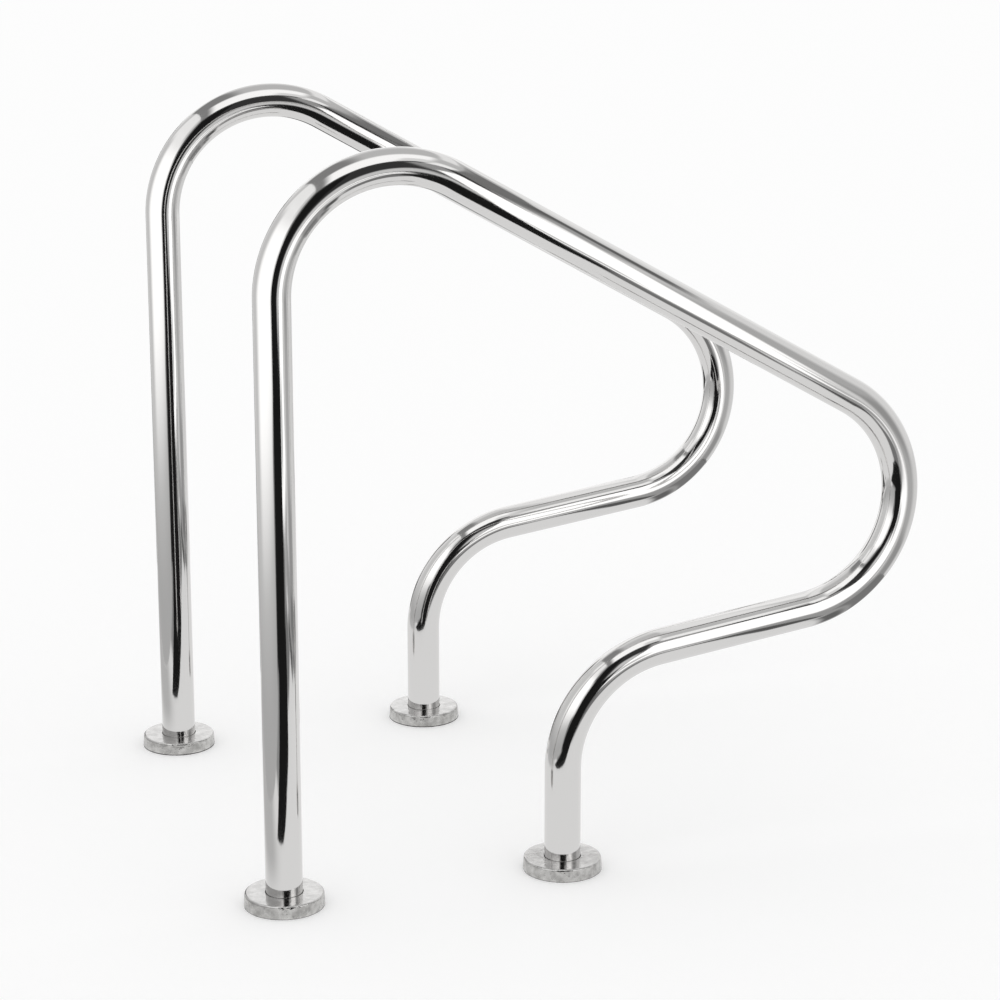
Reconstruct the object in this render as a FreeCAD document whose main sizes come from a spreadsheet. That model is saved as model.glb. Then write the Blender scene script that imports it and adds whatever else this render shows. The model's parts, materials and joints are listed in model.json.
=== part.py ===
"""Pool handrail pair: two bent stainless rails, each standing on two flanged feet with lift-up covers.

Frame: +Z up from the deck, +X from the tall leg towards the water, +Y to the left of a person who
faces the water.  The origin lies on the deck, in the middle of the pair's outline.
"""

import FreeCAD, Part
import math
import os

import Sketcher

doc = FreeCAD.newDocument("PoolHandrail")

# ---------------------------------------------------------------- driving dimensions
DRIVING_SIZES = [  # alias, value in mm or degrees, what it sets
    ("railHeight", 870.0, "deck to the top of the tube"),
    ("footSpacing", 340.0, "tall leg to short leg, axis to axis"),
    ("railSpacing", 560.0, "right rail to left rail, axis to axis"),
    ("tubeDiameter", 43.0, "outside diameter of the rail tube"),
    ("tubeWall", 1.5, "wall of the rail tube"),
    ("bendRadius", 140.0, "centre-line radius of all three bends"),
    ("slopeLength", 560.0, "straight stretch of the sloping grab rail"),
    ("slopeAngle", 30.0, "fall of the sloping grab rail, degrees"),
    ("returnAngle", 8.0, "fall of the return run, degrees"),
    ("gasketThickness", 1.5, "rubber pad between flange and deck"),
    ("flangeThickness", 5.0, "base flange"),
    ("flangeClearance", 0.1, "tube to flange bore, radial"),
    ("flangeChamfer", 0.8, "top edge of the flange"),
    ("weldLeg", 4.0, "fillet weld, leg length"),
    ("boltHole", 9.0, "clearance hole for an M8 deck bolt"),
    ("boltCount", 4, "bolts in each foot"),
    ("boltInset", 8.5, "toe of the weld to a bolt's axis, room for the washer"),
    ("boltEdge", 9.0, "a bolt's axis to the rim of the flange"),
    ("boltHeadRoom", 8.3, "top of the flange to the underside of the cover"),
    ("coverGap", 2.0, "rim of the flange to the cover's side, at the cover's top"),
    ("coverWall", 1.2, "sheet of the foot cover"),
    ("coverDraft", 0.8, "how much the cover's side leans in"),
    ("coverShoulder", 2.6, "rounding between the cover's side and top"),
    ("coverClearance", 0.6, "tube to cover bore, radial"),
    ("gripClearance", 0.3, "tube to grip ring, radial"),
    ("gripWidth", 4.2, "grip ring, across its section"),
    ("gripThickness", 2.4, "grip ring, along the leg"),
    ("gripRounding", 0.5, "edges of the grip ring"),
]

sizes = doc.addObject("Spreadsheet::Sheet", "Sizes")
for row, (alias, value, meaning) in enumerate(DRIVING_SIZES, start=1):
    sizes.set(f"A{row}", meaning)
    sizes.set(f"B{row}", str(value))
    sizes.setAlias(f"B{row}", alias)
doc.recompute()


def size(alias):
    """The value of one cell, for the places where a sketch is first drawn."""
    return float(getattr(sizes, alias))


def value_of(expression):
    """The present value of an expression over the sheet."""
    return float(sizes.evalExpression(expression))


# ---------------------------------------------------------------- shared expressions
TUBE_RADIUS = "Sizes.tubeDiameter / 2"
NOSE_REACH = "(2 * Sizes.bendRadius + Sizes.slopeLength * cos(Sizes.slopeAngle))"
FLANGE_TOP = "(Sizes.gasketThickness + Sizes.flangeThickness)"
FLANGE_BORE = "(Sizes.tubeDiameter + 2 * Sizes.flangeClearance)"
BOLT_CIRCLE = "(Sizes.tubeDiameter + 2 * (Sizes.weldLeg + Sizes.boltInset))"
FLANGE_RADIUS = f"({BOLT_CIRCLE} / 2 + Sizes.boltEdge)"
COVER_CEILING = f"({FLANGE_TOP} + Sizes.boltHeadRoom)"
COVER_TOP = f"({COVER_CEILING} + Sizes.coverWall)"
COVER_SHOULDER = f"({FLANGE_RADIUS} + Sizes.coverGap + Sizes.coverWall)"
COVER_RIM = f"({COVER_SHOULDER} + Sizes.coverDraft)"
TALL_LEG_PLACE = f"-({NOSE_REACH} + {TUBE_RADIUS} - {COVER_RIM}) / 2"
SHORT_LEG_PLACE = f"({TALL_LEG_PLACE} + Sizes.footSpacing)"

RAILS = {"right": "-Sizes.railSpacing / 2", "left": "Sizes.railSpacing / 2"}
LEGS = {"tall_leg": TALL_LEG_PLACE, "short_leg": SHORT_LEG_PLACE}

# the route's lines and arcs, in the order that its sketch draws them
TALL_LEG, SLOPE, RETURN_RUN, SHORT_LEG, TOP_BEND, NOSE_BEND, KNEE_BEND = range(7)
ALONG_THE_TUBE = (TALL_LEG, TOP_BEND, SLOPE, NOSE_BEND, RETURN_RUN, KNEE_BEND, SHORT_LEG)
START, END = 1, 2
ON_THE_DECK = "0"

parts = []


# ---------------------------------------------------------------- drawing helpers
def new_body(label, place_x, place_y):
    """A body of its own for one physical piece, placed by the sheet."""
    body = doc.addObject("PartDesign::Body", label)
    body.Label = label
    body.setExpression("Placement.Base.x", place_x)
    body.setExpression("Placement.Base.y", place_y)
    parts.append(body)
    return body


def new_sketch(body, name, plane, height=None):
    """A sketch on one of the body's own origin planes, raised by an expression."""
    sketch = body.newObject("Sketcher::SketchObject", name)
    origin_plane = next(item for item in body.Origin.OriginFeatures if item.Role == plane)
    sketch.AttachmentSupport = (origin_plane, [""])
    sketch.MapMode = "FlatFace"
    if height:
        sketch.setExpression("AttachmentOffset.Base.z", height)
    doc.recompute()
    return sketch


def constrain(sketch, name, expression, *constraint):
    """Add a named dimension to the sketch and bind it to the sheet."""
    index = sketch.addConstraint(Sketcher.Constraint(*constraint))
    sketch.renameConstraint(index, name)
    sketch.setExpression(f"Constraints.{name}", expression)


def add_circle(sketch, name, diameter_expression, first_diameter):
    """A circle about the sketch's origin with a diameter from the sheet."""
    circle = Part.Circle(FreeCAD.Vector(), FreeCAD.Vector(0, 0, 1), first_diameter / 2)
    index = sketch.addGeometry(circle)
    sketch.addConstraint(Sketcher.Constraint("Coincident", index, 3, -1, 1))
    constrain(sketch, name, diameter_expression, "Diameter", index, first_diameter)


def add_outline(sketch, points):
    """A closed outline of straight sides through the corners, in order round the section."""
    vectors = [FreeCAD.Vector(first_r, first_z, 0) for _, _, _, first_r, first_z in points]
    count = len(points)
    for side in range(count):
        sketch.addGeometry(Part.LineSegment(vectors[side], vectors[(side + 1) % count]))
    for side in range(count):
        following = (side + 1) % count
        sketch.addConstraint(Sketcher.Constraint("Coincident", side, END, following, START))
    for side, (name, radius, height, first_r, first_z) in enumerate(points):
        constrain(sketch, name + "Radius", radius, "DistanceX", -1, 1, side, START, first_r)
        if height == ON_THE_DECK:
            sketch.addConstraint(Sketcher.Constraint("PointOnObject", side, START, -1))
        else:
            constrain(sketch, name + "Height", height, "DistanceY", -1, 1, side, START, first_z)


def corner(name, radius, height):
    """One corner of a turned section: its two expressions and their present values."""
    return (name, radius, height, value_of(radius), value_of(height))


def revolve(body, name, sketch):
    """Turn a section about the leg's axis."""
    turned = body.newObject("PartDesign::Revolution", name)
    turned.Profile = sketch
    turned.ReferenceAxis = (sketch, ["V_Axis"])
    turned.Angle = 360.0
    doc.recompute()
    return turned


def circular_edge(feature, radius, height):
    """The name of the feature's full circle of this radius at this height."""
    for number, edge in enumerate(feature.Shape.Edges, start=1):
        curve = edge.Curve
        if isinstance(curve, Part.Circle) and abs(curve.Radius - radius) < 1e-4:
            if abs(curve.Center.z - height) < 1e-4:
                return f"Edge{number}"
    raise ValueError(f"{feature.Label} has no circle of radius {radius} at height {height}")


def dress_edges(body, kind, name, base, edges, size_name, size_expression):
    """A fillet or chamfer on named edges of the base feature."""
    dressed = body.newObject(kind, name)
    dressed.Base = (base, edges)
    dressed.setExpression(size_name, size_expression)
    doc.recompute()
    return dressed


# ---------------------------------------------------------------- the bent rail
def rail_route():
    """Where the centre line starts, turns and ends, as drawn before the solver takes over.

    Returns the six tangent points between the straights and the bends, with the two foot ends.
    """
    radius = size("bendRadius")
    slope = math.radians(size("slopeAngle"))
    fall = math.radians(size("returnAngle"))
    foot = size("gasketThickness")
    leg_top = size("railHeight") - size("tubeDiameter") / 2 - radius
    slope_start = (radius * (1 + math.sin(slope)), leg_top + radius * math.cos(slope))
    slope_end = (
        slope_start[0] + size("slopeLength") * math.cos(slope),
        slope_start[1] - size("slopeLength") * math.sin(slope),
    )
    nose = (slope_end[0] - radius * math.sin(slope), slope_end[1] - radius * math.cos(slope))
    return_start = (nose[0] + radius * math.sin(fall), nose[1] - radius * math.cos(fall))
    knee_x = size("footSpacing") + radius
    return_end_x = knee_x - radius * math.sin(fall)
    run = (return_start[0] - return_end_x) / math.cos(fall)
    return_end = (return_end_x, return_start[1] - run * math.sin(fall))
    knee = (knee_x, return_end[1] - radius * math.cos(fall))
    return {
        "straights": [
            ((0, foot), (0, leg_top)),
            (slope_start, slope_end),
            (return_start, return_end),
            ((size("footSpacing"), knee[1]), (size("footSpacing"), foot)),
        ],
        "bends": [
            ((radius, leg_top), math.pi / 2 - slope, math.pi),
            (nose, -math.pi / 2 + fall, math.pi / 2 - slope),
            (knee, math.pi / 2 + fall, math.pi),
        ],
    }


def draw_route(sketch):
    """Four straights and three bends of one radius, each tangent to its neighbours."""
    route = rail_route()
    for start, end in route["straights"]:
        sketch.addGeometry(
            Part.LineSegment(FreeCAD.Vector(*start, 0), FreeCAD.Vector(*end, 0))
        )
    for centre, low, high in route["bends"]:
        circle = Part.Circle(
            FreeCAD.Vector(*centre, 0), FreeCAD.Vector(0, 0, 1), size("bendRadius")
        )
        sketch.addGeometry(Part.ArcOfCircle(circle, low, high))
    for first, first_point, second, second_point in (
        (TALL_LEG, END, TOP_BEND, END),
        (SLOPE, START, TOP_BEND, START),
        (SLOPE, END, NOSE_BEND, END),
        (RETURN_RUN, START, NOSE_BEND, START),
        (RETURN_RUN, END, KNEE_BEND, START),
        (SHORT_LEG, START, KNEE_BEND, END),
    ):
        sketch.addConstraint(
            Sketcher.Constraint("Tangent", first, first_point, second, second_point)
        )
    sketch.addConstraint(Sketcher.Constraint("PointOnObject", TALL_LEG, START, -2))
    sketch.addConstraint(Sketcher.Constraint("Vertical", TALL_LEG))
    sketch.addConstraint(Sketcher.Constraint("Vertical", SHORT_LEG))
    sketch.addConstraint(Sketcher.Constraint("Equal", TOP_BEND, NOSE_BEND))
    sketch.addConstraint(Sketcher.Constraint("Equal", TOP_BEND, KNEE_BEND))
    foot = size("gasketThickness")
    leg_top = route["bends"][0][0][1]
    constrain(
        sketch, "footHeight", "Sizes.gasketThickness", "DistanceY", -1, 1, TALL_LEG, START, foot
    )
    constrain(
        sketch, "otherFootHeight", "Sizes.gasketThickness", "DistanceY", -1, 1, SHORT_LEG, END, foot
    )
    constrain(
        sketch, "legTop", f"Sizes.railHeight - {TUBE_RADIUS} - Sizes.bendRadius",
        "DistanceY", -1, 1, TALL_LEG, END, leg_top,
    )
    constrain(
        sketch, "footSpacing", "Sizes.footSpacing",
        "DistanceX", -1, 1, SHORT_LEG, END, size("footSpacing"),
    )
    constrain(sketch, "bendRadius", "Sizes.bendRadius", "Radius", TOP_BEND, size("bendRadius"))
    constrain(sketch, "slopeLength", "Sizes.slopeLength", "Distance", SLOPE, size("slopeLength"))
    constrain(
        sketch, "slopeAngle", "Sizes.slopeAngle * 1 deg",
        "Angle", SLOPE, END, -1, END, math.radians(size("slopeAngle")),
    )
    constrain(
        sketch, "returnAngle", "Sizes.returnAngle * 1 deg",
        "Angle", -1, START, RETURN_RUN, END, math.radians(size("returnAngle")),
    )


def rail_tube(side):
    """One length of tube with three bends, both ends square at the feet."""
    body = new_body(f"{side}_rail_tube", TALL_LEG_PLACE, RAILS[side])
    route = new_sketch(body, f"{side}Route", "XZ_Plane")
    draw_route(route)
    section = new_sketch(body, f"{side}Section", "XY_Plane", "Sizes.gasketThickness")
    diameter = size("tubeDiameter")
    add_circle(section, "outside", "Sizes.tubeDiameter", diameter)
    add_circle(
        section, "inside", "Sizes.tubeDiameter - 2 * Sizes.tubeWall",
        diameter - 2 * size("tubeWall"),
    )
    doc.recompute()
    pipe = body.newObject("PartDesign::AdditivePipe", f"{side}Pipe")
    pipe.Profile = section
    pipe.Spine = (route, [f"Edge{item + 1}" for item in ALONG_THE_TUBE])
    pipe.Mode = "Standard"
    doc.recompute()
    return body


# ---------------------------------------------------------------- the flanged feet
def bolt_holes(body, name, base, bottom):
    """Through holes for the deck bolts, one pocket patterned about the leg."""
    sketch = new_sketch(body, f"{name}HoleSketch", "XY_Plane", bottom)
    centre_x = value_of(BOLT_CIRCLE) / 2
    circle = Part.Circle(
        FreeCAD.Vector(centre_x, 0, 0), FreeCAD.Vector(0, 0, 1), size("boltHole") / 2
    )
    sketch.addGeometry(circle)
    sketch.addConstraint(Sketcher.Constraint("PointOnObject", 0, 3, -1))
    constrain(sketch, "offAxis", f"{BOLT_CIRCLE} / 2", "DistanceX", -1, 1, 0, 3, centre_x)
    constrain(sketch, "hole", "Sizes.boltHole", "Diameter", 0, size("boltHole"))
    sketch.AttachmentOffset = turned_to_first_bolt(sketch.AttachmentOffset)
    doc.recompute()
    before = base.Shape.Volume
    pocket = body.newObject("PartDesign::Pocket", f"{name}Hole")
    pocket.Profile = sketch
    pocket.Type = "ThroughAll"
    pocket.Midplane = True
    doc.recompute()
    pattern = body.newObject("PartDesign::PolarPattern", f"{name}Holes")
    pattern.Originals = [pocket]
    axis = next(item for item in body.Origin.OriginFeatures if item.Role == "Z_Axis")
    pattern.Axis = (axis, [""])
    pattern.Angle = 360.0
    pattern.setExpression("Occurrences", "Sizes.boltCount")
    body.Tip = pattern
    doc.recompute()
    if pattern.Shape.Volume >= before:
        raise ValueError(f"{body.Label}: the bolt holes cut nothing")
    return pattern


def turned_to_first_bolt(offset):
    """The hole sketch's offset, turned so that the first bolt stands half a pitch off the X axis."""
    half_pitch = 180.0 / size("boltCount")
    return FreeCAD.Placement(
        offset.Base, FreeCAD.Rotation(FreeCAD.Vector(0, 0, 1), half_pitch)
    )


def disc(body, name, bottom, thickness, outside, bore=None):
    """A flat disc, with or without a bore, raised to its bottom face."""
    sketch = new_sketch(body, f"{name}Sketch", "XY_Plane", bottom)
    add_circle(sketch, "outside", outside, value_of(outside))
    if bore:
        add_circle(sketch, "bore", bore, value_of(bore))
    pad = body.newObject("PartDesign::Pad", f"{name}Pad")
    pad.Profile = sketch
    pad.setExpression("Length", thickness)
    doc.recompute()
    return pad


def flange(foot, place_x, place_y):
    """Base flange: a plate that the tube stands in, welded round its top and bolted to the deck."""
    body = new_body(f"{foot}_flange", place_x, place_y)
    pad = disc(
        body, f"{foot}Flange", "Sizes.gasketThickness", "Sizes.flangeThickness",
        f"2 * {FLANGE_RADIUS}", FLANGE_BORE,
    )
    rim = circular_edge(pad, value_of(FLANGE_RADIUS), value_of(FLANGE_TOP))
    eased = dress_edges(
        body, "PartDesign::Chamfer", f"{foot}FlangeEdge", pad, [rim], "Size", "Sizes.flangeChamfer"
    )
    bolt_holes(body, f"{foot}Flange", eased, "Sizes.gasketThickness")


def gasket(foot, place_x, place_y):
    """Rubber pad under the flange, with its outline and bolt holes, which closes the tube's end."""
    body = new_body(f"{foot}_gasket", place_x, place_y)
    pad = disc(body, f"{foot}Gasket", None, "Sizes.gasketThickness", f"2 * {FLANGE_RADIUS}")
    bolt_holes(body, f"{foot}Gasket", pad, None)


def weld(foot, place_x, place_y):
    """Fillet weld in the corner between the tube and the top of the flange."""
    body = new_body(f"{foot}_weld", place_x, place_y)
    section = new_sketch(body, f"{foot}WeldSection", "XZ_Plane")
    add_outline(section, [
        corner("root", TUBE_RADIUS, FLANGE_TOP),
        corner("toe", f"{TUBE_RADIUS} + Sizes.weldLeg", FLANGE_TOP),
        corner("crown", TUBE_RADIUS, f"{FLANGE_TOP} + Sizes.weldLeg"),
    ])
    revolve(body, f"{foot}WeldRun", section)


def cover(foot, place_x, place_y):
    """Pressed cover: a shallow cup, open below, that slides on the leg and hides the flange."""
    body = new_body(f"{foot}_cover", place_x, place_y)
    inner_shoulder = f"{COVER_SHOULDER} - Sizes.coverWall"
    bore = f"{TUBE_RADIUS} + Sizes.coverClearance"
    section = new_sketch(body, f"{foot}CoverSection", "XZ_Plane")
    add_outline(section, [
        corner("rimOutside", COVER_RIM, ON_THE_DECK),
        corner("shoulder", COVER_SHOULDER, COVER_TOP),
        corner("boreTop", bore, COVER_TOP),
        corner("boreBottom", bore, COVER_CEILING),
        corner("ceiling", inner_shoulder, COVER_CEILING),
        corner("rimInside", f"{COVER_RIM} - Sizes.coverWall", ON_THE_DECK),
    ])
    cup = revolve(body, f"{foot}CoverCup", section)
    outer = circular_edge(cup, value_of(COVER_SHOULDER), value_of(COVER_TOP))
    rounded = dress_edges(
        body, "PartDesign::Fillet", f"{foot}CoverShoulder", cup, [outer], "Radius",
        "Sizes.coverShoulder",
    )
    inner = circular_edge(rounded, value_of(inner_shoulder), value_of(COVER_CEILING))
    dress_edges(
        body, "PartDesign::Fillet", f"{foot}CoverCorner", rounded, [inner], "Radius",
        "Sizes.coverShoulder - Sizes.coverWall",
    )


def grip_ring(foot, place_x, place_y):
    """Rubber ring under the cover's top that centres it on the leg and holds it where it is put."""
    body = new_body(f"{foot}_grip_ring", place_x, place_y)
    inside = f"({TUBE_RADIUS} + Sizes.gripClearance)"
    outside = f"{inside} + Sizes.gripWidth"
    bottom = f"{COVER_CEILING} - Sizes.gripThickness"
    section = new_sketch(body, f"{foot}GripSection", "XZ_Plane")
    add_outline(section, [
        corner("insideLow", inside, bottom),
        corner("outsideLow", outside, bottom),
        corner("outsideHigh", outside, COVER_CEILING),
        corner("insideHigh", inside, COVER_CEILING),
    ])
    ring = revolve(body, f"{foot}GripBlank", section)
    edges = [
        circular_edge(ring, value_of(inside), value_of(bottom)),
        circular_edge(ring, value_of(outside), value_of(bottom)),
    ]
    dress_edges(
        body, "PartDesign::Fillet", f"{foot}GripEdges", ring, edges, "Radius",
        "Sizes.gripRounding",
    )


# ---------------------------------------------------------------- assembly
for side, place_y in RAILS.items():
    rail_tube(side)
    for leg, place_x in LEGS.items():
        for make in (flange, gasket, weld, cover, grip_ring):
            make(f"{side}_{leg}", place_x, place_y)
doc.recompute()


# ---------------------------------------------------------------- checks and export
def tube_volume():
    """Section times centre-line length, which a sound sweep of the route must match."""
    route = rail_route()
    straights = sum(math.dist(start, end) for start, end in route["straights"])
    bends = sum(size("bendRadius") * (high - low) for _, low, high in route["bends"])
    outside = size("tubeDiameter") / 2
    inside = outside - size("tubeWall")
    return math.pi * (outside**2 - inside**2) * (straights + bends)


for item in doc.Objects:
    if "Invalid" in item.State or "Error" in item.State:
        raise RuntimeError(f"{item.Label} failed: {item.State}")
for body in parts:
    if body.Shape.isNull() or not body.Shape.isValid() or len(body.Shape.Solids) != 1:
        raise RuntimeError(f"{body.Label} is not one valid solid")
    if body.Label.endswith("rail_tube"):
        error = abs(body.Shape.Volume / tube_volume() - 1)
        if error > 1e-4:
            raise RuntimeError(f"{body.Label} has the wrong volume, off by {error:.2%}")

os.makedirs("parts", exist_ok=True)
for body in parts:
    body.Shape.exportStep(f"parts/{body.Label}.step")
    box = body.Shape.BoundBox
    print(
        f"{body.Label}: x {box.XMin:.1f}..{box.XMax:.1f}  y {box.YMin:.1f}..{box.YMax:.1f}"
        f"  z {box.ZMin:.1f}..{box.ZMax:.1f}  volume {body.Shape.Volume:.0f}"
    )
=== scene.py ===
import json
import math

import bpy
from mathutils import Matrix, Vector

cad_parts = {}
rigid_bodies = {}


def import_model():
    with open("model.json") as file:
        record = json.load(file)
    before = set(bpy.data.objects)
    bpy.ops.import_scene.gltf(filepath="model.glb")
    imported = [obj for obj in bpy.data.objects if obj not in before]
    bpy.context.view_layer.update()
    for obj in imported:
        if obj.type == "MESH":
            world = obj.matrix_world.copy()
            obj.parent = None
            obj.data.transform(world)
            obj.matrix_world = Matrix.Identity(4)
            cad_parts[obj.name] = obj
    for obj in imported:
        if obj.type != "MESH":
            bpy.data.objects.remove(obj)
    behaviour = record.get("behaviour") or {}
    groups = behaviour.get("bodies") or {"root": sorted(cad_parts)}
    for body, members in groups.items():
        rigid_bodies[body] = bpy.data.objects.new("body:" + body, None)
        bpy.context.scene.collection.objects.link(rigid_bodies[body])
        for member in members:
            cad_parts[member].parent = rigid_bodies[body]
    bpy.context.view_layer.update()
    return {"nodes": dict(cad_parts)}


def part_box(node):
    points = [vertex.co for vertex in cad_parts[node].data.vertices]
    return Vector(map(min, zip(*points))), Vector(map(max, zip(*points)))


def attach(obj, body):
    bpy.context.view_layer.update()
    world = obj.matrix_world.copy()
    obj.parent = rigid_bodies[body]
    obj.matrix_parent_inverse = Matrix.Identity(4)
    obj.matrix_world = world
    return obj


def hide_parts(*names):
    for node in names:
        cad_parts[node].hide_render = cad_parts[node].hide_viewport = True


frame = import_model()
print("frame loaded:", len(frame["nodes"]), "nodes")

mm = 0.001
rails = ("right", "left")
legs = ("tall_leg", "short_leg")
feet = [f"{side}_{leg}" for side in rails for leg in legs]


def axisOf(node):  # where a round piece stands, from the frame
    low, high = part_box(node)
    return (low.x + high.x) / 2, (low.y + high.y) / 2


def linear(hexColour):  # sRGB hex to what the shaders take
    channels = [int(hexColour[i:i + 2], 16) / 255 for i in (1, 3, 5)]
    return tuple(c / 12.92 if c <= 0.04045 else ((c + 0.055) / 1.055) ** 2.4 for c in channels) + (1.0,)


def addNode(tree, kind, settings=None, **inputs):
    # settings are the node's own properties; inputs are values or the sockets to link from
    node = tree.nodes.new(kind)
    for name, value in (settings or {}).items():
        setattr(node, name, value)
    for name, value in inputs.items():
        byNumber = name[1:].isdigit()  # i0, i1 and so on, where inputs share a name
        socket = node.inputs[int(name[1:]) if byNumber else name.replace("_", " ")]
        if isinstance(value, bpy.types.NodeSocket):
            tree.links.new(value, socket)
        else:
            socket.default_value = value
    return node


def newMaterial(name):
    material = bpy.data.materials.new(name)
    material.use_nodes = True
    material.node_tree.nodes.clear()
    return material, material.node_tree


def meshPiece(name, points, faces, maps=None, smooth=True):
    mesh = bpy.data.meshes.new(name)
    mesh.from_pydata(points, [], faces)
    if maps:
        layer = mesh.uv_layers.new(name="surface")
        for loop in mesh.loops:
            layer.data[loop.index].uv = maps[loop.index]
    mesh.polygons.foreach_set("use_smooth", [smooth] * len(mesh.polygons))
    mesh.validate()
    mesh.update()
    piece = bpy.data.objects.new(name, mesh)
    bpy.context.scene.collection.objects.link(piece)
    return piece


tube = {
    "height": 870 * mm,
    "feetApart": 340 * mm,
    "diameter": 43 * mm,
    "wall": 1.5 * mm,
    "bendRadius": 140 * mm,
    "slopeLength": 560 * mm,
    "slopeFall": math.radians(30),
    "returnFall": math.radians(8),
    "foot": 1.5 * mm,  # the tube's ends stand on the gasket
    "ovality": 0.35 * mm,  # how much a bend flattens the section
    "ovalBuild": 0.25,  # share of a bend over which that builds up
    "insideEvery": 3,  # the inside wall has a third of the outside's rings
    "around": 112,  # faces round the section
    "bendStep": 2.4 * mm,
    "straightStep": 14 * mm,
}


def tubeRoute():
    # points (x, z, heading, flatness) along the centre line, from the tall foot to the short one
    bend = tube["bendRadius"]
    slope = tube["slopeFall"]
    fall = tube["returnFall"]
    legTop = tube["height"] - tube["diameter"] / 2 - bend
    noseZ = legTop - tube["slopeLength"] * math.sin(slope)
    noseX = bend + tube["slopeLength"] * math.cos(slope)
    kneeX = tube["feetApart"] + bend
    run = (noseX - kneeX) / math.cos(fall) + 2 * bend * math.tan(fall)
    kneeZ = noseZ - 2 * bend * math.cos(fall) - run * math.sin(fall)
    steps = [
        ("straight", legTop - tube["foot"]),
        ("right", math.pi / 2 + slope),
        ("straight", tube["slopeLength"]),
        ("right", math.pi - slope - fall),
        ("straight", run),
        ("left", math.pi / 2 - fall),
        ("straight", kneeZ - tube["foot"]),
    ]
    x, z, heading = 0.0, tube["foot"], math.pi / 2
    route = [(x, z, heading, 0.0)]
    for kind, amount in steps:
        if kind == "straight":
            count = max(2, round(amount / tube["straightStep"]))
            for _ in range(count):
                x += amount / count * math.cos(heading)
                z += amount / count * math.sin(heading)
                route.append((x, z, heading, 0.0))
        else:
            count = round(amount * bend / tube["bendStep"])
            turn = (-1 if kind == "right" else 1) * amount / count
            for i in range(count):
                chord = 2 * bend * math.sin(abs(turn) / 2)
                x += chord * math.cos(heading + turn / 2)
                z += chord * math.sin(heading + turn / 2)
                heading += turn
                share = (i + 1) / count
                build = tube["ovalBuild"]
                route.append((x, z, heading, min(1.0, share / build, (1 - share) / build)))
    return route


def railTube(side):
    tallX, railY = axisOf(f"{side}_tall_leg_flange")
    route = tubeRoute()
    around = tube["around"]
    points, faces, maps = [], [], []
    walls = (
        (tube["diameter"] / 2, 1),
        (tube["diameter"] / 2 - tube["wall"], tube["insideEvery"]),
    )
    ringStart = []
    for radius, every in walls:
        rings = route[::every]
        if (len(route) - 1) % every:
            rings.append(route[-1])
        starts = []
        for x, z, heading, flat in rings:
            starts.append(len(points))
            squeeze = flat * flat * (3 - 2 * flat) * tube["ovality"]
            for i in range(around):
                angle = 2 * math.pi * i / around
                inPlane = (radius - squeeze) * math.cos(angle)
                sideways = radius * math.sin(angle)
                points.append((
                    tallX + x - inPlane * math.sin(heading),
                    railY + sideways,
                    z + inPlane * math.cos(heading),
                ))
        ringStart.append(starts)
    lengths = [0.0]
    for before, after in zip(route, route[1:]):
        lengths.append(lengths[-1] + math.dist(before[:2], after[:2]))

    def band(first, second, v0, v1, flip):  # faces between two rings, mapped in metres
        for i in range(around):
            j = (i + 1) % around
            corners = [first + i, first + j, second + j, second + i]
            u0 = i / around * math.pi * tube["diameter"]
            u1 = (i + 1) / around * math.pi * tube["diameter"]
            spots = [(u0, v0), (u1, v0), (u1, v1), (u0, v1)]
            if flip:
                corners.reverse()
                spots.reverse()
            faces.append(corners)
            maps.extend(spots)

    outer, inner = ringStart
    for k in range(len(outer) - 1):
        band(outer[k], outer[k + 1], lengths[k], lengths[k + 1], True)
    for k in range(len(inner) - 1):
        band(inner[k], inner[k + 1], k * tube["bendStep"], (k + 1) * tube["bendStep"], False)
    band(outer[0], inner[0], 0, tube["wall"], False)
    band(outer[-1], inner[-1], 0, tube["wall"], True)
    return meshPiece(f"{side}_polished_rail", points, faces, maps)


def arcPoints(centreR, centreZ, radius, start, end, count):
    angles = [start + (end - start) * i / count for i in range(count + 1)]
    return [(centreR + radius * math.cos(angle), centreZ + radius * math.sin(angle)) for angle in angles]


def turned(name, foot, profile, around):
    # a closed profile of (radius, height) turned about the leg of this foot
    centreX, centreY = axisOf(f"{foot}_flange")
    count = len(profile)
    points, faces, maps = [], [], []
    for i in range(around):
        angle = 2 * math.pi * i / around
        for radius, height in profile:
            points.append((
                centreX + radius * math.cos(angle),
                centreY + radius * math.sin(angle),
                height,
            ))
    along = [0.0]
    for k in range(count):
        along.append(along[-1] + math.dist(profile[k], profile[(k + 1) % count]))
    for i in range(around):
        j = (i + 1) % around
        for k in range(count):
            m = (k + 1) % count
            faces.append([i * count + k, j * count + k, j * count + m, i * count + m])
            u0 = i / around
            u1 = (i + 1) / around
            maps.extend([(u0, along[k]), (u1, along[k]), (u1, along[k + 1]), (u0, along[k + 1])])
    return meshPiece(name, points, faces, maps)


cover = {
    "rim": 47 * mm,
    "lean": 0.8 * mm,  # how far the side leans in
    "height": 16 * mm,
    "sheet": 1.2 * mm,
    "shoulder": 2.6 * mm,
    "bore": 22.1 * mm,
    "dome": 0.4 * mm,  # how far the top falls from the leg to the shoulder
    "edge": 0.35 * mm,  # rolled-over sheared edges
    "around": 192,
    "edgeSteps": 4,
    "shoulderSteps": 14,
    "topSteps": 12,
    "insideSteps": 6,
}


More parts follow.
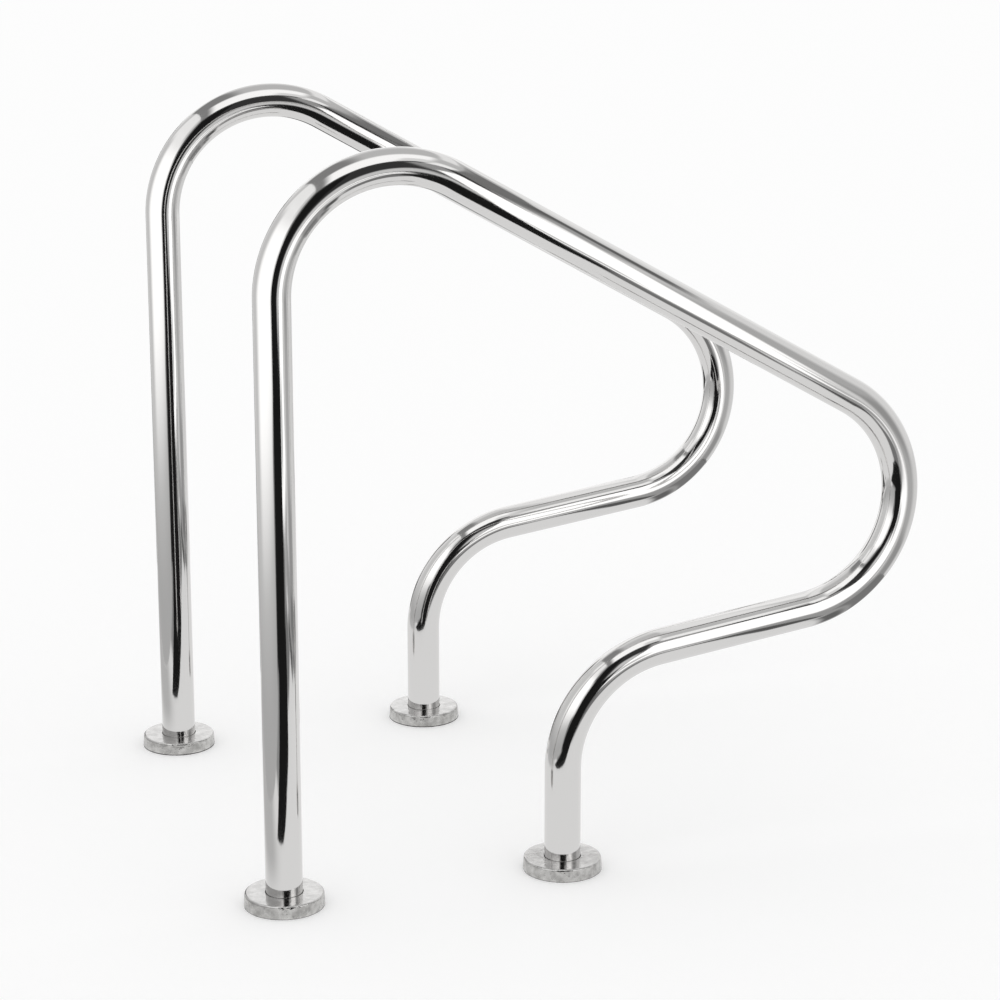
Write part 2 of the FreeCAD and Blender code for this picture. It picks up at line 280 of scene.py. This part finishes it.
def footCover(foot):
    rim, top, sheet, dome = cover["rim"], cover["height"], cover["sheet"], cover["dome"]
    shoulder, edge, bore = cover["shoulder"], cover["edge"], cover["bore"]
    side = rim - cover["lean"]
    flatEnd = side - shoulder
    quarter = math.pi / 2
    slope = 2 * dome / (flatEnd - bore)  # of the dome where it meets the shoulder

    def domeAt(radius):
        return dome * ((radius - bore) / (flatEnd - bore)) ** 2

    profile = []
    profile += arcPoints(rim - edge, edge, edge, -quarter, 0, cover["edgeSteps"])
    profile += arcPoints(
        flatEnd, top - dome - shoulder, shoulder, 0, quarter - slope, cover["shoulderSteps"])
    steps = cover["topSteps"]
    radii = [flatEnd - (flatEnd - bore - edge) * i / steps for i in range(1, steps)]
    profile += [(radius, top - domeAt(radius)) for radius in radii]
    profile += arcPoints(bore + edge, top - edge, edge, quarter, 2 * quarter, cover["edgeSteps"])
    profile += [(bore, top - sheet)]
    profile += [(radius, top - sheet - domeAt(radius)) for radius in reversed(radii)]
    inner = shoulder - sheet
    profile += arcPoints(
        side - sheet - inner, top - dome - sheet - inner, inner, quarter - slope, 0, cover["insideSteps"])
    profile += [(rim - sheet, edge), (rim - sheet + edge / 2, 0)]
    return turned(f"{foot}_pressed_cover", foot, profile, cover["around"])


weld = {
    "inside": 21.5 * mm,
    "leg": 4 * mm,
    "bottom": 6.5 * mm,
    "ripples": 84,
    "ripple": 0.16 * mm,
    "lag": 0.9,  # how far a ripple's middle lags behind its ends, in half ripples
    "sharpness": 1.6,  # of the ripples' crests
    "crown": 0.10,  # how far the face bulges, as a share of the leg
    "drawIn": 0.05,  # how far the bulge is taken back, as a share of the leg
    "slant": 0.7,  # share of a move square to the face that goes along each axis
    "around": 504,
    "across": 12,
}


def weldBead(foot):
    # a fillet with the crescent ripples of a hand-fed weld
    centreX, centreY = axisOf(f"{foot}_flange")
    around, across = weld["around"], weld["across"]
    points, faces = [], []
    for i in range(around):
        angle = 2 * math.pi * i / around
        for k in range(across + 1):
            t = k / across
            bulge = math.sin(math.pi * t)
            phase = weld["ripples"] * angle - weld["lag"] * bulge * math.pi
            ripple = (0.5 + 0.5 * math.cos(phase)) ** weld["sharpness"]
            crown = weld["crown"] * weld["leg"] * bulge - weld["ripple"] * bulge * ripple
            push = crown * weld["slant"] - weld["drawIn"] * weld["leg"] * bulge
            radius = weld["inside"] + weld["leg"] * (1 - t) + push
            height = weld["bottom"] + weld["leg"] * t + push
            points.append((
                centreX + radius * math.cos(angle),
                centreY + radius * math.sin(angle),
                height,
            ))
        points.append((
            centreX + weld["inside"] * math.cos(angle),
            centreY + weld["inside"] * math.sin(angle),
            weld["bottom"],
        ))
    row = across + 2
    for i in range(around):
        j = (i + 1) % around
        for k in range(row):
            m = (k + 1) % row
            faces.append([i * row + k, j * row + k, j * row + m, i * row + m])
    return meshPiece(f"{foot}_weld_bead", points, faces)


def mirrorStainless():
    # bent stainless tube, ground and buffed to a mirror: neutral, crisp reflections that wander a
    # little where the buffing wheel dug in, and hairlines along the tube, drawn coarser than real ones
    material, tree = newMaterial("buffedStainlessTube")
    place = addNode(tree, "ShaderNodeTexCoord").outputs["UV"]
    wander = addNode(tree, "ShaderNodeMapping", Vector=place,
                     Scale=(1 / (45 * mm), 1 / (120 * mm), 1))  # round the tube, and along it
    waves = addNode(tree, "ShaderNodeTexNoise", Vector=wander.outputs[0], Scale=1.0, Detail=1.5,
                    Roughness=0.4)
    lines = addNode(tree, "ShaderNodeMapping", Vector=place, Scale=(1 / (0.6 * mm), 1 / (60 * mm), 1))
    hairs = addNode(tree, "ShaderNodeTexNoise", Vector=lines.outputs[0], Scale=1.0, Detail=2.0,
                    Roughness=0.6)
    gloss = addNode(tree, "ShaderNodeMapRange", Value=hairs.outputs[0], From_Min=0.35, From_Max=0.7,
                    To_Min=0.05, To_Max=0.10)
    wave = addNode(tree, "ShaderNodeBump", Height=waves.outputs[0], Strength=1.0, Distance=0.2 * mm)
    hair = addNode(tree, "ShaderNodeBump", Height=hairs.outputs[0], Strength=0.25, Distance=0.004 * mm,
                   Normal=wave.outputs[0])
    shader = addNode(tree, "ShaderNodeBsdfPrincipled", Base_Color=linear("#dedddc"), Metallic=1.0,
                     Roughness=gloss.outputs[0], Normal=hair.outputs[0])
    addNode(tree, "ShaderNodeOutputMaterial", Surface=shader.outputs[0])
    return material


def pressedStainless():
    # deep-drawn stainless sheet, polished only lightly: the top still mirrors what stands on it,
    # while the stretched side is duller and mottled, with soft dents some millimetres across; the side's
    # base colour is also painted darker than the top's, as painted shade
    material, tree = newMaterial("deepDrawnStainlessSheet")
    place = addNode(tree, "ShaderNodeTexCoord").outputs["Object"]
    facing = addNode(tree, "ShaderNodeNewGeometry").outputs["Normal"]
    upward = addNode(tree, "ShaderNodeSeparateXYZ", Vector=facing)
    flat = addNode(tree, "ShaderNodeMapRange", Value=upward.outputs[2], From_Min=0.2, From_Max=0.95)
    mottle = addNode(tree, "ShaderNodeTexNoise", Vector=place, Scale=1 / (10 * mm), Detail=3.0,
                     Roughness=0.55)
    scuff = addNode(tree, "ShaderNodeTexNoise", Vector=place, Scale=1 / (4 * mm), Detail=2.0,
                    Roughness=0.5)
    sideGloss = addNode(tree, "ShaderNodeMapRange", Value=scuff.outputs[0], From_Min=0.3, From_Max=0.7,
                        To_Min=0.14, To_Max=0.30)
    topGloss = addNode(tree, "ShaderNodeMapRange", Value=mottle.outputs[0], From_Min=0.3, From_Max=0.7,
                       To_Min=0.10, To_Max=0.20)
    gloss = addNode(tree, "ShaderNodeMix", {"data_type": "FLOAT"}, i0=flat.outputs[0],
                    i2=sideGloss.outputs[0], i3=topGloss.outputs[0])
    depth = addNode(tree, "ShaderNodeMapRange", Value=flat.outputs[0], To_Min=1.0, To_Max=0.10)
    dent = addNode(tree, "ShaderNodeBump", Height=mottle.outputs[0], Strength=depth.outputs[0],
                   Distance=2.2 * mm)
    fine = addNode(tree, "ShaderNodeBump", Height=scuff.outputs[0], Strength=depth.outputs[0],
                   Distance=0.2 * mm, Normal=dent.outputs[0])
    patch = addNode(tree, "ShaderNodeMapRange", Value=mottle.outputs[0], From_Min=0.32, From_Max=0.68)
    # painted shade: the side's colour is made darker than the top's, standing in for the shaded floor that
    # the side mirrors near the foot
    paintedShadeSideTint = addNode(tree, "ShaderNodeMix", {"data_type": "RGBA"}, Factor=patch.outputs[0],
                       i6=linear("#a3a2a0"), i7=linear("#cfcecc"))
    topTint = addNode(tree, "ShaderNodeMix", {"data_type": "RGBA"}, Factor=patch.outputs[0],
                      i6=linear("#bdbcbb"), i7=linear("#d6d5d4"))
    tint = addNode(tree, "ShaderNodeMix", {"data_type": "RGBA"}, Factor=flat.outputs[0],
                   i6=paintedShadeSideTint.outputs[2], i7=topTint.outputs[2])
    shader = addNode(tree, "ShaderNodeBsdfPrincipled", Base_Color=tint.outputs[2], Metallic=1.0,
                     Roughness=gloss.outputs[0], Normal=fine.outputs[0])
    addNode(tree, "ShaderNodeOutputMaterial", Surface=shader.outputs[0])
    return material


def brushedPlate():
    # laser-cut stainless plate, brushed one way: a dull sheen with a straight grain, drawn coarse
    # enough to show
    material, tree = newMaterial("brushedStainlessPlate")
    place = addNode(tree, "ShaderNodeTexCoord").outputs["Object"]
    grainPlace = addNode(tree, "ShaderNodeMapping", Vector=place,
                         Scale=(1 / (30 * mm), 1 / (0.4 * mm), 1 / (0.4 * mm)))
    grain = addNode(tree, "ShaderNodeTexNoise", Vector=grainPlace.outputs[0], Scale=1.0, Detail=3.0)
    gloss = addNode(tree, "ShaderNodeMapRange", Value=grain.outputs[0], To_Min=0.28, To_Max=0.48)
    groove = addNode(tree, "ShaderNodeBump", Height=grain.outputs[0], Strength=0.4, Distance=0.04 * mm)
    shader = addNode(tree, "ShaderNodeBsdfPrincipled", Base_Color=linear("#c6c5c3"), Metallic=1.0,
                     Roughness=gloss.outputs[0], Normal=groove.outputs[0])
    addNode(tree, "ShaderNodeOutputMaterial", Surface=shader.outputs[0])
    return material


def pickledWeld():
    # stainless weld metal, pickled after welding: grey, satin, slightly straw-coloured in patches
    material, tree = newMaterial("pickledStainlessWeld")
    place = addNode(tree, "ShaderNodeTexCoord").outputs["Object"]
    patches = addNode(tree, "ShaderNodeTexNoise", Vector=place, Scale=1 / (9 * mm), Detail=4.0)
    tint = addNode(tree, "ShaderNodeMix", {"data_type": "RGBA"}, Factor=patches.outputs[0],
                   i6=linear("#a7a6a3"), i7=linear("#b9b3a4"))
    gloss = addNode(tree, "ShaderNodeMapRange", Value=patches.outputs[0], To_Min=0.3, To_Max=0.55)
    shader = addNode(tree, "ShaderNodeBsdfPrincipled", Base_Color=tint.outputs[2], Metallic=1.0,
                     Roughness=gloss.outputs[0])
    addNode(tree, "ShaderNodeOutputMaterial", Surface=shader.outputs[0])
    return material


def blackRubber(name, grainSize, roughness):
    # EPDM, calendered as sheet or moulded as a ring: near black, matt, with a dusty bloom and a
    # fine grain, drawn coarse enough to show
    material, tree = newMaterial(name)
    place = addNode(tree, "ShaderNodeTexCoord").outputs["Object"]
    grain = addNode(tree, "ShaderNodeTexNoise", Vector=place, Scale=1 / grainSize, Detail=3.0)
    bloom = addNode(tree, "ShaderNodeTexNoise", Vector=place, Scale=1 / (18 * mm), Detail=2.0)
    tint = addNode(tree, "ShaderNodeMix", {"data_type": "RGBA"}, Factor=bloom.outputs[0],
                   i6=linear("#1c1c1d"), i7=linear("#2b2b2b"))
    pits = addNode(tree, "ShaderNodeBump", Height=grain.outputs[0], Strength=0.5, Distance=0.08 * mm)
    shader = addNode(tree, "ShaderNodeBsdfPrincipled", Base_Color=tint.outputs[2], Roughness=roughness,
                     Normal=pits.outputs[0])
    addNode(tree, "ShaderNodeOutputMaterial", Surface=shader.outputs[0])
    return material


materials = {
    "tube": mirrorStainless(),
    "cover": pressedStainless(),
    "flange": brushedPlate(),
    "weld": pickledWeld(),
    "gasket": blackRubber("calenderedEpdmSheet", 0.7 * mm, 0.72),
    "grip_ring": blackRubber("mouldedEpdm", 0.4 * mm, 0.58),
}
print("materials made:", len(materials))


def dress(piece, body, node, material):
    piece.data.materials.clear()
    piece.data.materials.append(material)
    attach(piece, body)
    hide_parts(node)


for side in rails:
    dress(railTube(side), "rails_and_feet", f"{side}_rail_tube", materials["tube"])
for foot in feet:
    dress(footCover(foot), f"{foot}_lift_cover", f"{foot}_cover", materials["cover"])
    dress(weldBead(foot), "rails_and_feet", f"{foot}_weld", materials["weld"])
    for kind in ("flange", "gasket", "grip_ring"):
        node = frame["nodes"][f"{foot}_{kind}"]
        node.data.materials.clear()
        node.data.materials.append(materials[kind])
print("pieces made")


studio = {
    "floorSize": 60.0,
    "floorDrop": 0.2 * mm,  # below the deck face
    "floorColour": "#f1f1f1",
    "floorLift": 0.17,  # what the floor gives off towards the camera and the metal
    "sky": 0.92,
    "dark": 0.012,
    "farGap": 0.01,  # how far the second tent's cards move apart from the first's, as a share of its shift
    "nearGap": 0.001,  # the same for its left, front and floor cards
}

# Each rail has its own light tent: cards that only its metal sees, with black behind them.
# A card lies square to an axis. Each patch is (low, high, softness, level) in the card's own two axes,
# and a later patch lies over the earlier ones.
tent = {
    "leftPanel": {
        "axis": 0, "at": -0.72,
        "outline": ((-1.0, 0), (1.5, 0), (1.5, 1.5), (-1.2, 1.5), (-1.35, 0.75), (-1.35, 0.4)),
        "level": 0.70,
        "patches": (
            ((0.55, -1), (4, 2), (0.6, 0.1), 0.85),
            ((-2, -1), (3, 0.22), (0.1, 0.3), 0.50),
            ((-0.75, 1.1), (0.1, 2), (0.15, 0.15), 1.05),
            ((-1.12, 0.38), (-0.16, 1.08), (0.22, 0.30), 1.4),
            ((-2, 0.95), (-1.0, 2), (0.2, 0.2), 0.15),
            ((-2, -1), (-0.98, 0.36), (0.12, 0.1), 0.2),
        ),
    },
    "rightPanel": {
        "axis": 0, "at": 0.80,
        "outline": ((-1.25, 0), (1.5, 0), (1.5, 1.5), (-1.25, 1.5)),
        "level": 0.98,
        "patches": (
            ((-2, -1), (0.1, 2), (0.4, 0.1), 0.85),
            ((-2, -1), (3, 0.45), (0.1, 0.06), 0.78),
            ((-1.0, -1), (-0.42, 1.15), (0.25, 0.3), 0.50),
            ((-0.9, 0.42), (-0.5, 0.70), (0.2, 0.15), 0.36),
            ((-2, 0.62), (-1.0, 1.3), (0.15, 0.2), 1.4),
            ((-2, 1.38), (-0.5, 2), (0.2, 0.14), 0.18),
            ((-0.60, 1.16), (-0.22, 2), (0.2, 0.12), 0.13),
            ((-0.80, -1), (-0.32, 0.16), (0.2, 0.08), 0.36),
            ((-0.9, 1.24), (-0.55, 1.42), (0.15, 0.1), 0.43),
        ),
    },
    "frontPanel": {
        "axis": 1, "at": -1.25,
        "outline": (
            (0.06, 0), (0.80, 0), (0.80, 1.28), (0.45, 1.20), (0.22, 1.0), (0.14, 0.6), (0.08, 0.4),
        ),
        "level": 1.45,
        "patches": (
            ((-1, -1), (2, 0.125), (0.1, 0.09), 0.45),
            ((-1, -1), (0.20, 0.15), (0.1, 0.08), 0.15),
            ((0.10, 0.22), (0.30, 0.36), (0.08, 0.08), 0.62),
            ((0.68, 0.18), (1.5, 0.40), (0.06, 0.08), 0.60),
        ),
    },
    "backPanel": {
        "axis": 1, "at": 1.5,
        "outline": ((-0.72, 0), (0.80, 0), (0.80, 1.5), (-0.72, 1.5)),
        "level": 1.12,
        "patches": (
            ((-0.66, -1), (-0.34, 1.15), (0.03, 0.05), 0.04),  # a dark way in, seen from behind
        ),
    },
    "frontCurtain": {
        "axis": 1, "at": -1.26,
        "outline": (
            (-0.20, 0.50), (0.0, 0.38), (0.08, 0.4), (0.14, 0.6), (0.22, 1.0), (0.45, 1.20), (0.80, 1.28),
            (0.80, 1.5), (-0.30, 1.5), (-0.25, 0.9),
        ),
        "level": 0.03,
        "patches": (
            ((0.17, 0.9), (0.5, 2), (0.08, 0.1), 0.35),
            ((-0.12, 0.45), (0.12, 0.80), (0.1, 0.15), 0.70),
        ),
    },
    "roof": {
        "axis": 2, "at": 1.5,
        "outline": ((-0.72, -1.25), (0.80, -1.25), (0.80, 1.5), (-0.72, 1.5)),
        "level": 0.60,
        "patches": (
            ((-2, 0.45), (2, 4), (0.1, 0.5), 0.83),
            ((-2, -2), (-0.33, 0.8), (0.16, 0.3), 0.26),
            ((-0.58, -1.08), (0.26, -0.36), (0.12, 0.14), 1.25),
            ((0.02, -1.08), (0.26, -0.7), (0.1, 0.1), 0.85),
            ((-2, -2), (0.35, -1.08), (0.1, 0.06), 0.06),
            ((0.31, -0.35), (0.52, 4), (0.08, 0.15), 0.98),
            ((0.32, -2), (0.62, -0.80), (0.1, 0.1), 1.1),
            ((0.56, 0.2), (2, 4), (0.08, 0.2), 1.1),
            ((0.62, -2), (2, -0.08), (0.08, 0.15), 0.20),
        ),
    },
    "floorOfTent": {
        "axis": 2, "at": 0.0006,
        "outline": (
            (-0.72, 1.5), (-0.72, -1.10), (-0.63, -1.10), (-0.60, -0.60), (-0.55, -0.44), (-0.42, -0.50),
            (-0.28, -0.65), (-0.10, -0.76), (0.0, -0.90), (0.06, -1.0), (0.14, -1.25), (0.80, -1.25),
            (0.80, 1.5),
        ),
        "level": 0.86,
        "patches": (
            ((-2, -0.4), (-0.48, 0.45), (0.15, 0.2), 0.56),
            ((0.50, -2), (2, 0.0), (0.06, 0.3), 0.38),
            ((0.02, -2), (0.38, -0.86), (0.08, 0.08), 0.20),
            ((-2, -2), (-0.60, -0.6), (0.05, 0.1), 0.30),
            ((0.39, -1.04), (0.51, -0.54), (0.03, 0.06), 0.10),
            ((0.46, -0.5), (0.55, -0.12), (0.05, 0.1), 0.15),
            ((0.585, -0.75), (2, 0.02), (0.03, 0.1), 0.22),
            ((-0.52, 0.55), (0.0, 4), (0.03, 0.05), 0.04),
        ),
    },
}
blackBox = {  # behind the tents' cards: axis, place, low, high
    "behindLeft": (0, -0.725, (-9, 0), (2.1, 1.52)),
    "behindRight": (0, 0.81, (-9, 0), (2.1, 1.52)),
    "behindRoof": (2, 1.51, (-6, -9), (6, 2.1)),
    "behindFloor": (2, 0.0003, (-6, -9), (6, 2.1)),
    "behindBack": (1, 2.1, (-1, 0), (1, 1.52)),
    "behindFront": (1, -8.9, (-6, 0), (6, 1.52)),
}


def onlyForMetal(piece):  # a card shows in polished metal and nowhere else
    piece.visible_camera = False
    piece.visible_diffuse = False
    piece.visible_transmission = False
    piece.visible_volume_scatter = False
    piece.visible_shadow = False


def squareTo(axis, at, spots):  # corners of a flat card square to an axis
    return [spot[:axis] + (at,) + spot[axis:] for spot in spots]


def blackCards():
    material, tree = newMaterial("blackCloth")
    glow = addNode(tree, "ShaderNodeEmission", Color=linear("#ffffff"), Strength=studio["dark"])
    addNode(tree, "ShaderNodeOutputMaterial", Surface=glow.outputs[0])
    for name, (axis, at, low, high) in blackBox.items():
        spots = [(low[0], low[1]), (high[0], low[1]), (high[0], high[1]), (low[0], high[1])]
        piece = meshPiece(name, squareTo(axis, at, spots), [(0, 1, 2, 3)], smooth=False)
        piece.data.materials.append(material)
        onlyForMetal(piece)


def softStep(tree, value, low, high, soft):
    # 1 between low and high, falling off over soft at both ends
    rise = addNode(tree, "ShaderNodeMapRange", {"interpolation_type": "SMOOTHSTEP"}, Value=value,
                   From_Min=low - soft / 2, From_Max=low + soft / 2)
    fall = addNode(tree, "ShaderNodeMapRange", {"interpolation_type": "SMOOTHSTEP"}, Value=value,
                   From_Min=high - soft / 2, From_Max=high + soft / 2, To_Min=1.0, To_Max=0.0)
    both = addNode(tree, "ShaderNodeMath", {"operation": "MULTIPLY"}, i0=rise.outputs[0],
                   i1=fall.outputs[0])
    return both.outputs[0]


def cardMaterial(name, make):
    # light added to what lies behind, so that a card that isn't this rail's own does nothing to it
    material, tree = newMaterial(name)
    place = addNode(tree, "ShaderNodeTexCoord").outputs["Object"]
    split = addNode(tree, "ShaderNodeSeparateXYZ", Vector=place)
    across, along = [split.outputs[i] for i in range(3) if i != make["axis"]]
    strength = make["level"]
    for low, high, soft, level in make["patches"]:
        inside = addNode(tree, "ShaderNodeMath", {"operation": "MULTIPLY"},
                         i0=softStep(tree, across, low[0], high[0], soft[0]),
                         i1=softStep(tree, along, low[1], high[1], soft[1]))
        strength = addNode(tree, "ShaderNodeMix", {"data_type": "FLOAT"}, i0=inside.outputs[0],
                           i2=strength, i3=level).outputs[0]
    glow = addNode(tree, "ShaderNodeEmission", Color=linear("#ffffff"), Strength=strength)
    clear = addNode(tree, "ShaderNodeBsdfTransparent")
    both = addNode(tree, "ShaderNodeAddShader", i0=glow.outputs[0], i1=clear.outputs[0])
    addNode(tree, "ShaderNodeOutputMaterial", Surface=both.outputs[0])
    return material


def lightTent(side, own, shift):
    for name, make in tent.items():
        spots = make["outline"]
        gap = studio["farGap"] if make["at"] > mm else studio["nearGap"]
        at = make["at"] + gap * shift  # so cards of the two tents never share a plane
        piece = meshPiece(f"{side}_{name}", squareTo(make["axis"], at, spots),
                          [tuple(range(len(spots)))], smooth=False)
        piece.location = (0, shift, 0)
        piece.data.materials.append(cardMaterial(f"{side}_{name}", make))
        onlyForMetal(piece)
        piece.light_linking.receiver_collection = own


def tents():
    firstY = axisOf("right_tall_leg_flange")[1]
    for side in rails:
        own = bpy.data.collections.new(f"{side}_metal")
        for piece in bpy.data.objects:
            if piece.type == "MESH" and piece.name.startswith(side):
                own.objects.link(piece)
        lightTent(side, own, axisOf(f"{side}_tall_leg_flange")[1] - firstY)


def seenRays(tree):
    # 1 for what the camera, polished metal and clear pieces see
    rays = addNode(tree, "ShaderNodeLightPath")
    seen = addNode(tree, "ShaderNodeMath", {"operation": "MAXIMUM"}, i0=rays.outputs["Is Camera Ray"],
                   i1=rays.outputs["Is Glossy Ray"])
    return addNode(tree, "ShaderNodeMath", {"operation": "MAXIMUM"}, i0=seen.outputs[0],
                   i1=rays.outputs["Is Transmission Ray"]).outputs[0]


def floor():
    half = studio["floorSize"] / 2
    corners = [(-half, -half), (half, -half), (half, half), (-half, half)]
    piece = meshPiece("floor", squareTo(2, -studio["floorDrop"], corners), [(0, 1, 2, 3)], smooth=False)
    material, tree = newMaterial("whiteStudioFloor")
    lift = addNode(tree, "ShaderNodeMath", {"operation": "MULTIPLY"}, i0=seenRays(tree),
                   i1=studio["floorLift"])
    paint = addNode(tree, "ShaderNodeBsdfDiffuse", Color=linear(studio["floorColour"]))
    glow = addNode(tree, "ShaderNodeEmission", Color=linear("#ffffff"), Strength=lift.outputs[0])
    both = addNode(tree, "ShaderNodeAddShader", i0=paint.outputs[0], i1=glow.outputs[0])
    addNode(tree, "ShaderNodeOutputMaterial", Surface=both.outputs[0])
    piece.data.materials.append(material)


def sky():
    world = bpy.data.worlds.new("softWhiteRoom")
    bpy.context.scene.world = world
    world.use_nodes = True
    tree = world.node_tree
    tree.nodes.clear()
    level = addNode(tree, "ShaderNodeMapRange", Value=seenRays(tree), To_Min=studio["sky"], To_Max=1.0)
    light = addNode(tree, "ShaderNodeBackground", Color=linear("#ffffff"), Strength=level.outputs[0])
    addNode(tree, "ShaderNodeOutputWorld", Surface=light.outputs[0])


tents()
blackCards()
floor()
sky()
print("studio made:", len(tent), "cards a rail")


view = {
    "place": (-1.1212, -3.3053, 1.3485),
    "down": 15.56,  # degrees below level
    "turned": 18.52,  # degrees to the right of +Y
    "lens": 104.74,  # mm, on the sensor below
    "sensor": 36,
    "farthest": 200,
}


def camera():
    lens = bpy.data.cameras.new("camera")
    lens.lens = view["lens"]
    lens.sensor_width = view["sensor"]
    lens.clip_end = view["farthest"]
    holder = bpy.data.objects.new("camera", lens)
    bpy.context.scene.collection.objects.link(holder)
    holder.location = view["place"]
    holder.rotation_euler = (math.radians(90 - view["down"]), 0, math.radians(-view["turned"]))
    bpy.context.scene.camera = holder


camera()
bpy.context.scene.view_settings.view_transform = "Standard"
print("camera set")
